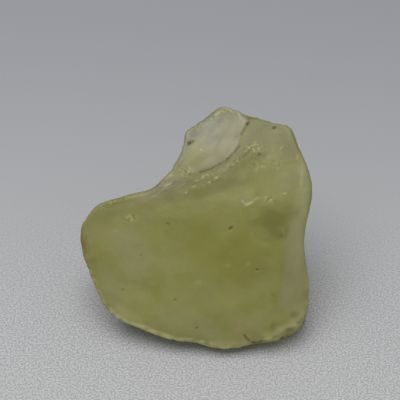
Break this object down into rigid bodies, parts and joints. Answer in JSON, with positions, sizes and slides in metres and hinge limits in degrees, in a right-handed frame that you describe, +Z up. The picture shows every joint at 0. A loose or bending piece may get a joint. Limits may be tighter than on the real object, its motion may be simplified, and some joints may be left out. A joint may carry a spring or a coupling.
{
  "type": "libyan desert glass",
  "caption": "Chunk of pale yellow-green natural glass with broken faces, worn smooth, that rests on a flat underside.",
  "frame": {"origin": "centre of the box's footprint, in the plane of the flat underside that the stone rests on", "axes": "+X along the stone's length, towards its hollowed right side; -Y the side the broad smooth face looks to; +Z up"},
  "size_m": [0.0396, 0.031, 0.0301],
  "materials": {
    "desert_glass": "cloudy yellow-green natural glass with a fine matt, wind-frosted skin"
  },
  "bodies": {
    "root": {"desert_glass": "desert_glass"}
  },
  "joints": []
}
